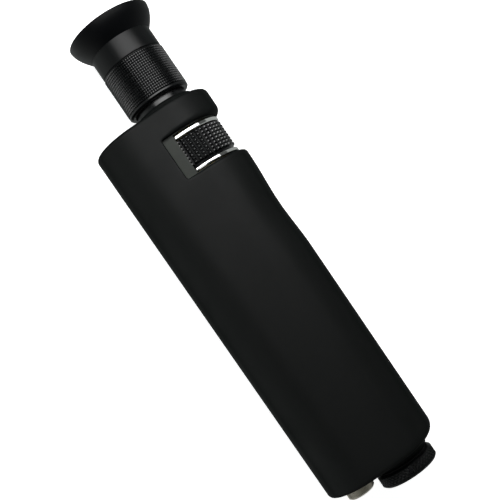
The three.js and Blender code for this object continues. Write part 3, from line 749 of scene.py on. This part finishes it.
wheel_floor = WHEEL_RADIUS - WHEEL_DEPTH
WHEEL_METAL = burnished_knurl("wheel knurl", WHEEL_RADIUS - 0.3, WHEEL_RADIUS - 0.05, bright=2.3)
turned("knurled_focus_wheel", OPTIC_X, [
    (WHEEL_BORE, WHEEL_FROM), (wheel_floor - RING_GAP, WHEEL_FROM),
    (wheel_floor - RING_GAP, KNURL_FROM - 0.12),
    *knurl_rows(WHEEL_RADIUS, KNURL_FROM, KNURL_TO, WHEEL_ROWS, WHEEL_GROOVE, WHEEL_TOP),
    (wheel_floor, WHEEL_TO), (WHEEL_BORE, WHEEL_TO),
], "wheel", WHEEL_METAL, "black_metal", ["focus_wheel"], WHEEL_COLUMNS, wheel_relief, 0.05,
       knurl_shares(WHEEL_GROOVE, WHEEL_TOP))

RING_CHAMFER = 0.24
for ring in ("wheel_ring_lower", "wheel_ring_upper"):
    ring_from, ring_to = span(ring)
    turned("chrome_" + ring, OPTIC_X, [
        (WHEEL_BORE, ring_from), (WHEEL_RADIUS - RING_CHAMFER, ring_from),
        (WHEEL_RADIUS, ring_from + RING_CHAMFER), (WHEEL_RADIUS, ring_to - RING_CHAMFER),
        (WHEEL_RADIUS - RING_CHAMFER, ring_to), (WHEEL_BORE, ring_to),
    ], "wheel", LOOKS["chrome"], "chrome", [ring], FINE_ROUND, radius=0.06)


# ---- Eyepiece ----

DIOPTER_FROM, DIOPTER_TO = span("diopter_ring")
DIOPTER_RADIUS = half_size("diopter_ring", 0)
DIOPTER_BORE = 9.15
DIOPTER_RECESS, RECESS_FROM, RECESS_TO = 0.9, 138, 145.2        # the widened part of the bore
GRIP_FROM, GRIP_TO = DIOPTER_FROM + 1.35, DIOPTER_TO - 0.35
GRIP_COLUMNS, GRIP_ROWS, GRIP_DEPTH = 88, 17, 0.36
GRIP_GROOVE, GRIP_TOP = 0.04, 0.42


def grip_relief(angle, station):
    """Fine square knurling: small flat-topped studs between crossing grooves."""
    around = stud_height(angle / (2 * math.pi) * GRIP_COLUMNS, GRIP_GROOVE, GRIP_TOP)
    row = (station - GRIP_FROM) / (GRIP_TO - GRIP_FROM) * GRIP_ROWS
    along = stud_height(np.full_like(angle, row), GRIP_GROOVE, GRIP_TOP)
    return GRIP_DEPTH * (1 - np.minimum(around, along))


band = DIOPTER_RADIUS - 0.1
GRIP_METAL = burnished_knurl("diopter knurl", DIOPTER_RADIUS - 0.25, DIOPTER_RADIUS - 0.05, bright=1.54)
turned("knurled_diopter_ring", OPTIC_X, [
    (DIOPTER_BORE, DIOPTER_FROM), (band - 0.55, DIOPTER_FROM), (band, DIOPTER_FROM + 0.5),
    (band, GRIP_FROM - 0.25), (band - 0.22, GRIP_FROM - 0.2), (band - 0.22, GRIP_FROM - 0.02),
    *knurl_rows(DIOPTER_RADIUS, GRIP_FROM, GRIP_TO, GRIP_ROWS, GRIP_GROOVE, GRIP_TOP),
    (band - 0.15, GRIP_TO + 0.02), (band - 0.15, DIOPTER_TO), (DIOPTER_BORE, DIOPTER_TO),
    (DIOPTER_BORE, RECESS_TO), (DIOPTER_BORE + DIOPTER_RECESS, RECESS_TO),
    (DIOPTER_BORE + DIOPTER_RECESS, RECESS_FROM), (DIOPTER_BORE, RECESS_FROM),
], "diopter", GRIP_METAL, "black_metal", ["diopter_ring"], GRIP_COLUMNS, grip_relief, 0.12,
       knurl_shares(GRIP_GROOVE, GRIP_TOP))

CUP_FROM, CUP_TO = span("eyecup")
CUP_RADIUS = half_size("eyecup", 2)
SKIRT_FROM, BARREL_TO = span("eyepiece_tube")
BARREL_RADIUS, SKIRT_RADIUS, BARREL_BORE = 10.75, 7.9, 7.0
LENS_POCKET, POCKET_FROM = 9.0, 149.4
BARREL_FROM = DIOPTER_TO + FIT
turned("smooth_eyepiece_barrel", OPTIC_X, [
    (BARREL_BORE, SKIRT_FROM), (SKIRT_RADIUS, SKIRT_FROM), (SKIRT_RADIUS, BARREL_FROM),
    (BARREL_RADIUS - 0.05, BARREL_FROM), (BARREL_RADIUS, BARREL_FROM + 0.4), (BARREL_RADIUS, BARREL_TO),
    (LENS_POCKET, BARREL_TO), (LENS_POCKET, POCKET_FROM), (BARREL_BORE, POCKET_FROM),
], "eyepiece", *BLACK, ["eyepiece_tube"], FINE_ROUND, radius=0.08)


def cup_outline():
    """The cup's flare: a crease at the barrel, a shallow curve out to a thin rounded rim, and a plain cone
    inside."""
    foot, foot_radius, steps = CUP_FROM - 0.5, BARREL_RADIUS + 0.03, 24
    outside = []
    for k in range(steps):
        t = k / steps
        curve = 0.96 * math.sin(math.pi / 2 * t ** 0.95) + 0.04 * t
        outside.append((foot_radius + (CUP_RADIUS - foot_radius) * curve, foot + (CUP_TO - foot) * t))
    outside.append((CUP_RADIUS - 0.03, CUP_TO - 0.3))
    rim = [(CUP_RADIUS - 0.02, CUP_TO - 0.14), (CUP_RADIUS - 0.12, CUP_TO - 0.03), (CUP_RADIUS - 0.3, CUP_TO),
           (CUP_RADIUS - 0.6, CUP_TO - 0.05), (CUP_RADIUS - 0.85, CUP_TO - 0.3)]
    inside = [(12.9, CUP_TO - 2.2), (11.7, CUP_TO - 3.6), (10.4, CUP_TO - 4.8), (9.5, CUP_FROM + 1.1),
              (9.2, CUP_FROM)]
    return [(r, s, AS_DRAWN) for r, s in outside + rim + inside]


turned("flared_eyecup", OPTIC_X, cup_outline(), "eyepiece", LOOKS["cup_plastic"], "cup_plastic", ["eyecup"],
       FINE_ROUND)


def lens_outline(node, sag, rim_thickness, steps=10):
    """A lens blank from its CAD box: two equal shallow domes and a ground rim."""
    first, last = span(node)
    radius = half_size(node, 0)
    rim_from = first + sag
    rim_to = rim_from + rim_thickness
    shares = [k / steps for k in range(steps + 1)]
    front = [(radius * share, rim_from - sag * (1 - share ** 2)) for share in shares]
    back = [(radius * share, rim_to + sag * (1 - share ** 2)) for share in reversed(shares)]
    return [(r, min(s, last), AS_DRAWN) for r, s in front + back]


turned("ground_eye_lens", OPTIC_X, lens_outline("eye_lens", sag=1.5, rim_thickness=1.2), "eyepiece",
       LOOKS["glass"], "glass", ["eye_lens"])
retainer_from, retainer_to = span("lens_retainer")
retainer = turned("slotted_lens_retainer", OPTIC_X, [
    (8.1, retainer_from), (8.8, retainer_from), (8.8, retainer_to), (7.4, retainer_to),
    (7.4, retainer_to - 1.2),
], "eyepiece", *BLACK, ["lens_retainer"])
key_slot = box_shape(OPTIC_X - 12, OPTIC_X + 12, retainer_to - 0.7, retainer_to + 1, -0.5, 0.5)
cut_out(retainer, key_slot)

PIN_STATION = sum(span("drive_pin")) / 2
EYEPIECE_TRAVEL = 2.4
NECK_BORE, NECK_RADIUS, NECK_FOOT_RADIUS = 8.1, 8.9, 10.0
neck_from, neck_to = span("neck_tube")
neck_foot_to = span("top_plate")[0] - FIT
neck = turned("polished_neck", OPTIC_X, [
    (NECK_BORE, neck_from), (NECK_FOOT_RADIUS, neck_from), (NECK_FOOT_RADIUS, neck_foot_to),
    (NECK_RADIUS, neck_foot_to), (NECK_RADIUS, neck_to), (NECK_BORE, neck_to),
], "housing", NECK_METAL, "black_metal", ["neck_tube"], 128)
slot_from, slot_to = PIN_STATION - 1.3, PIN_STATION + 1.3 + EYEPIECE_TRAVEL
pin_slot = box_shape(OPTIC_X + 5, OPTIC_X + 12, slot_from, slot_to, -1, 1)
cut_out(neck, pin_slot)


# ---- Connector adapter ----

ADAPTER_FROM, SPIGOT_TO = span("adapter_ring")
ADAPTER_RADIUS = half_size("adapter_ring", 2)
ADAPTER_SEAT = ADAPTER_FROM + 4.2
ADAPTER_BORE, SPIGOT_RADIUS = 5.3, 7.0
THREAD_PITCH, THREAD_DEPTH = 0.75, 0.38
DIAMOND_FROM, DIAMOND_TO = ADAPTER_FROM + 0.95, ADAPTER_SEAT - 0.45
DIAMONDS, DIAMOND_PITCH, DIAMOND_DEPTH = 88, 0.72, 0.24


def adapter_relief(angle, station):
    """Crossed slanting grooves round the rim, and a screw thread on the spigot."""
    if station > ADAPTER_SEAT:
        return THREAD_DEPTH * (1 - triangle_wave(station / THREAD_PITCH + angle / (2 * math.pi)))
    turn, rise = angle / (2 * math.pi) * DIAMONDS, station / DIAMOND_PITCH / 2
    stud = np.minimum(triangle_wave(turn / 2 + rise), triangle_wave(turn / 2 - rise))
    return DIAMOND_DEPTH * (1 - np.clip(stud * 1.35, 0, 1))


adapter = turned("knurled_adapter_ring", OPTIC_X, [
    (ADAPTER_RADIUS - 0.75, ADAPTER_FROM), (ADAPTER_RADIUS - 0.02, ADAPTER_FROM + 0.72),
    (ADAPTER_RADIUS - 0.02, DIAMOND_FROM - 0.06),
    *marked_band(ADAPTER_RADIUS, DIAMOND_FROM, DIAMOND_TO, DIAMOND_PITCH / 6),
    (ADAPTER_RADIUS - 0.1, DIAMOND_TO + 0.05), (ADAPTER_RADIUS - 0.4, ADAPTER_SEAT),
    (SPIGOT_RADIUS - 0.5, ADAPTER_SEAT), (SPIGOT_RADIUS - 0.5, ADAPTER_SEAT + 0.6),
    *marked_band(SPIGOT_RADIUS, ADAPTER_SEAT + 0.7, SPIGOT_TO - 0.25, THREAD_PITCH / 8),
    (SPIGOT_RADIUS - 0.4, SPIGOT_TO), (ADAPTER_BORE, SPIGOT_TO), (ADAPTER_BORE, ADAPTER_FROM + 1.25),
    (5.4, ADAPTER_FROM + 0.85), (5.6, ADAPTER_FROM + 0.5), (5.95, ADAPTER_FROM + 0.22),
    (6.4, ADAPTER_FROM + 0.05), (6.8, ADAPTER_FROM),
], "adapter", *BLACK, ["adapter_ring"], DIAMONDS * 6, adapter_relief, 0.18)
SCREW_STATION = sum(span("adapter_set_screw")) / 2
SCREW_HOLE, SCREW_RADIUS, SOCKET_RADIUS, SOCKET_DEPTH = 0.95, 0.75, 0.36, 0.7
ABOVE_RIM = 12.0                    # a height that is clear of the ring, where its cutters end
cut_out(adapter, upright_pin(OPTIC_X, SCREW_STATION, SCREW_HOLE, 4.0, ABOVE_RIM))

screw_bottom, screw_top = (corner[2] - AXIS_Z for corner in mm_box("adapter_set_screw"))
pin = upright_pin(OPTIC_X, SCREW_STATION, SCREW_RADIUS, screw_bottom, screw_top)
set_screw = build("adapter_grub_screw", *pin, "adapter", BLACKENED_STEEL, "steel", ["adapter_set_screw"])
hexagon = upright_pin(OPTIC_X, SCREW_STATION, SOCKET_RADIUS, screw_top - SOCKET_DEPTH, ABOVE_RIM, 6)
cut_out(set_screw, hexagon)

SLEEVE_HOLE, SLEEVE_RADIUS, SLEEVE_BORE, SLEEVE_SLIT = 2.1, 1.9, 1.28, 0.35
insert_from, insert_to = span("adapter_insert")
turned("ferrule_holder", OPTIC_X, [
    (4.6, insert_from), (ADAPTER_BORE - FIT, insert_from), (ADAPTER_BORE - FIT, insert_to),
    (SLEEVE_HOLE, insert_to), (SLEEVE_HOLE, -2.2), (2.5, -2.2), (2.9, -2.0), (4.2, -2.0), (4.6, -2.3),
], "adapter", *BLACK, ["adapter_insert"])


def split_sleeve(x, outer, inner, first, last, gap, columns=48, chamfer=0.12):
    """A tube with a narrow slit along it."""
    half = math.asin(gap / 2 / outer)
    angle = np.linspace(half, 2 * math.pi - half, columns)
    section = [(inner + chamfer, first), (outer - chamfer, first), (outer, first + chamfer),
               (outer, last - chamfer), (outer - chamfer, last), (inner + chamfer, last),
               (inner, last - chamfer), (inner, first + chamfer)]
    verts = [(x + r * math.sin(a), s, r * math.cos(a)) for a in angle for r, s in section]
    size = len(section)
    faces = [tuple(range(size)), tuple(range((columns - 1) * size, columns * size))]
    for k in range(columns - 1):
        for i in range(size):
            j = (i + 1) % size
            faces.append((k * size + i, k * size + j, (k + 1) * size + j, (k + 1) * size + i))
    return verts, faces


sleeve_from, sleeve_to = span("ferrule_sleeve")
build("split_ferrule_sleeve",
      *split_sleeve(OPTIC_X, SLEEVE_RADIUS, SLEEVE_BORE, sleeve_from, sleeve_to, SLEEVE_SLIT),
      "adapter", LOOKS["steel"], "steel", ["ferrule_sleeve"])
washer_from, washer_to = span("adapter_washer")
WASHER_BORE, WASHER_RADIUS = 7.3, 8.9
turned("rubber_washer", OPTIC_X, [
    (WASHER_BORE, washer_from), (WASHER_RADIUS, washer_from), (WASHER_RADIUS, washer_to),
    (WASHER_BORE, washer_to),
], "adapter_carrier", *SEAL, ["adapter_washer"], radius=0.1)

seat_from, seat_to = span("nose_seat")
SEAT_RADIUS, SEAT_FLANGE, FLANGE_THICKNESS, SEAT_BORE = 8.0, 9.4, 1.6, 6.9
SEAT_THREAD, THREAD_END = 7.4, 3.4


def seat_relief(angle, station):
    """The screw thread inside the seat; a positive relief makes the bore narrower."""
    return THREAD_DEPTH * 0.8 * triangle_wave(station / THREAD_PITCH + angle / (2 * math.pi))


turned("threaded_nose_seat", OPTIC_X, [
    (SEAT_RADIUS, seat_from), (SEAT_RADIUS, seat_to - FLANGE_THICKNESS),
    (SEAT_FLANGE, seat_to - FLANGE_THICKNESS), (SEAT_FLANGE, seat_to), (SEAT_BORE, seat_to),
    (SEAT_BORE, THREAD_END), (SEAT_THREAD - 0.05, THREAD_END),
    *reversed(marked_band(SEAT_THREAD, seat_from + 0.5, THREAD_END - 0.2, THREAD_PITCH / 8)),
    (SEAT_THREAD + 0.1, seat_from),
], "housing", *BLACK, ["nose_seat"], 192, seat_relief, 0.1)


# ---- Battery cap ----

KNOB_FROM, CAP_TO = span("battery_cap")
KNOB_RADIUS, CAP_FLANGE_RADIUS, CAP_THREAD_RADIUS = 4.7, 5.9, 5.75
KNOB_TEETH, KNOB_DEPTH = 64, 0.2
CAP_PITCH = 1.0
flange_from, flange_to = 0.3, 1.8
grip_from, grip_to = KNOB_FROM + 0.75, -0.5


def cap_relief(angle, station):
    """Straight serrations on the knob, and a screw thread on the cap's skirt."""
    if station > flange_to:
        return 0.4 * (1 - triangle_wave(station / CAP_PITCH + angle / (2 * math.pi)))
    return KNOB_DEPTH * (1 - np.clip(triangle_wave(angle / (2 * math.pi) * KNOB_TEETH) * 1.3, 0, 1))


cap = turned("serrated_battery_cap", BATTERY_X, [
    (0, KNOB_FROM + 0.12), (3.0, KNOB_FROM + 0.1), (KNOB_RADIUS - 0.7, KNOB_FROM),
    (KNOB_RADIUS - 0.1, KNOB_FROM + 0.55),
    *marked_band(KNOB_RADIUS - 0.01, grip_from, grip_to, 0.35),
    (KNOB_RADIUS - 0.3, grip_to + 0.1), (KNOB_RADIUS - 0.3, flange_from),
    (CAP_FLANGE_RADIUS, flange_from), (CAP_FLANGE_RADIUS, flange_to), (5.0, flange_to), (5.0, 2.6),
    *marked_band(CAP_THREAD_RADIUS, 2.8, CAP_TO - 0.3, CAP_PITCH / 8),
    (5.3, CAP_TO), (4.7, CAP_TO), (4.7, 3.0), (0, 3.0),
], "cap", LOOKS["knob_metal"], "knob_metal", ["battery_cap"], KNOB_TEETH * 6, cap_relief, 0.12)
coin_slot = box_shape(BATTERY_X - 6, BATTERY_X + 6, KNOB_FROM - 1, KNOB_FROM + 0.9, -0.6, 0.6)
cut_out(cap, coin_slot)
seal_from, seal_to = span("cap_seal")
seal_middle, seal_half = 5.42, (seal_to - seal_from) / 2
turned("cap_sealing_ring", BATTERY_X, [
    (seal_middle + seal_half * math.cos(a), (seal_from + seal_to) / 2 + seal_half * math.sin(a))
    for a in np.linspace(0, 2 * math.pi, 12, endpoint=False)
], "cap_carrier", *SEAL, ["cap_seal"], radius=0)


# ---- Camera, floor and light ----

LENS, SENSOR_WIDTH = 66.3, 36
LEAN, ROLL = 0.056, math.radians(34.3)      # how far it looks along the body from straight down, and its tilt
EYE = (3.63, -16.0, 304.7)                  # its place, in the frame's own millimetres
camera_data = bpy.data.cameras.new("camera")
camera_data.lens, camera_data.sensor_width = LENS, SENSOR_WIDTH
camera_data.clip_start = 0.01
camera = new_object("camera", camera_data)
bpy.context.scene.camera = camera
along = Vector((0, math.cos(LEAN), math.sin(LEAN)))
across = Vector((1, 0, 0))
back = Vector((0, -math.sin(LEAN), math.cos(LEAN)))
up = math.cos(ROLL) * along + math.sin(ROLL) * across
right = math.cos(ROLL) * across - math.sin(ROLL) * along
camera.matrix_world = Matrix.Translation(Vector(EYE) * MM) @ Matrix((right, up, back)).transposed().to_4x4()


def floor_material():
    n = Nodes("pale floor")
    return n.set(Base_Color=n.ramp(n.noise(3, 2), (0.86, 0.86, 0.86), (0.9, 0.9, 0.9)), Roughness=0.7,
                 Specular_IOR_Level=0.2, Emission_Color=(1, 1, 1, 1), Emission_Strength=0.85)


STAGE_RADIUS = 4.0                  # metres, as everything below
floor_mesh = bpy.data.meshes.new("floor")
floor_corners = [(x * STAGE_RADIUS, y * STAGE_RADIUS, 0) for x, y in ((-1, -1), (1, -1), (1, 1), (-1, 1))]
floor_mesh.from_pydata(floor_corners, [], [(0, 1, 2, 3)])
floor_mesh.materials.append(floor_material())
floor = new_object("floor", floor_mesh)
floor.visible_glossy = False        # reflections see the studio's lower half below instead, which is dimmer


def backdrop(radius=STAGE_RADIUS, columns=48, rows=12):
    """A pale dome that only the camera sees: a plain background for low views."""
    turn = np.linspace(0, 2 * math.pi, columns, endpoint=False)
    rise = np.linspace(-0.05, math.pi / 2 - 0.02, rows)
    verts = [(radius * math.cos(b) * math.cos(a), radius * math.cos(b) * math.sin(a), radius * math.sin(b))
             for b in rise for a in turn]
    faces = [(k * columns + i, k * columns + (i + 1) % columns, (k + 1) * columns + (i + 1) % columns,
              (k + 1) * columns + i) for k in range(rows - 1) for i in range(columns)]
    faces.append(tuple(range((rows - 1) * columns, rows * columns)))
    mesh = bpy.data.meshes.new("backdrop")
    mesh.from_pydata(verts, [], faces)
    mesh.materials.append(floor_mesh.materials[0])
    dome = new_object("backdrop", mesh)
    dome.visible_diffuse = dome.visible_glossy = dome.visible_transmission = dome.visible_shadow = False


def studio_world(above, below, left):
    """A dim room above the horizon, the table's light below it, and a pale wall on the battery side."""
    world = bpy.data.worlds.new("studio")
    world.use_nodes = True
    tree = world.node_tree
    place = tree.nodes.new("ShaderNodeTexCoord")
    parts = tree.nodes.new("ShaderNodeSeparateXYZ")
    tree.links.new(place.outputs["Generated"], parts.inputs["Vector"])

    def level(axis, first, last, low, high):
        node = tree.nodes.new("ShaderNodeMapRange")
        node.interpolation_type = "SMOOTHSTEP"
        for socket, value in (("From Min", first), ("From Max", last), ("To Min", low), ("To Max", high)):
            node.inputs[socket].default_value = value
        tree.links.new(parts.outputs[axis], node.inputs["Value"])
        return node

    height = level("Z", -0.05, 0.05, below, above)
    wall = level("X", -0.95, -0.3, left, 0.0)
    wall_height = level("Z", 0.0, 0.8, 1.0, 0.15)
    strength = tree.nodes.new("ShaderNodeMath")
    strength.operation = "MULTIPLY_ADD"
    for source, target in zip((wall, wall_height, height), strength.inputs):
        tree.links.new(source.outputs["Result"], target)
    tree.links.new(strength.outputs["Value"], tree.nodes["Background"].inputs["Strength"])
    tree.nodes["Background"].inputs["Color"].default_value = (0.95, 1.0, 0.98, 1)
    return world


def soft_light(name, place, target, size, power):
    """A rectangular softbox, unseen by the camera itself."""
    data = bpy.data.lights.new(name, "AREA")
    data.shape = "RECTANGLE"
    data.energy, (data.size, data.size_y) = power, size
    lamp = new_object(name, data)
    lamp.visible_camera = False
    lamp.location = place
    lamp.rotation_euler = (Vector(target) - Vector(place)).to_track_quat("-Z", "Y").to_euler()


soft_light("main_softbox", (0.16, 0.16, 0.23), (0.16, 0.159, 0), (0.46, 0.2), 1.0)
soft_light("softbox_centre", (0.11, 0.16, 0.22), (0.11, 0.159, 0), (0.2, 0.18), 0.16)
soft_light("overhead", (0.0, -0.1, 1.2), (0, 0, 0), (0.5, 0.5), 0.8)
backdrop()
bpy.context.scene.world = studio_world(above=0.1, below=0.4, left=0.7)
bpy.context.scene.view_settings.view_transform = "Standard"
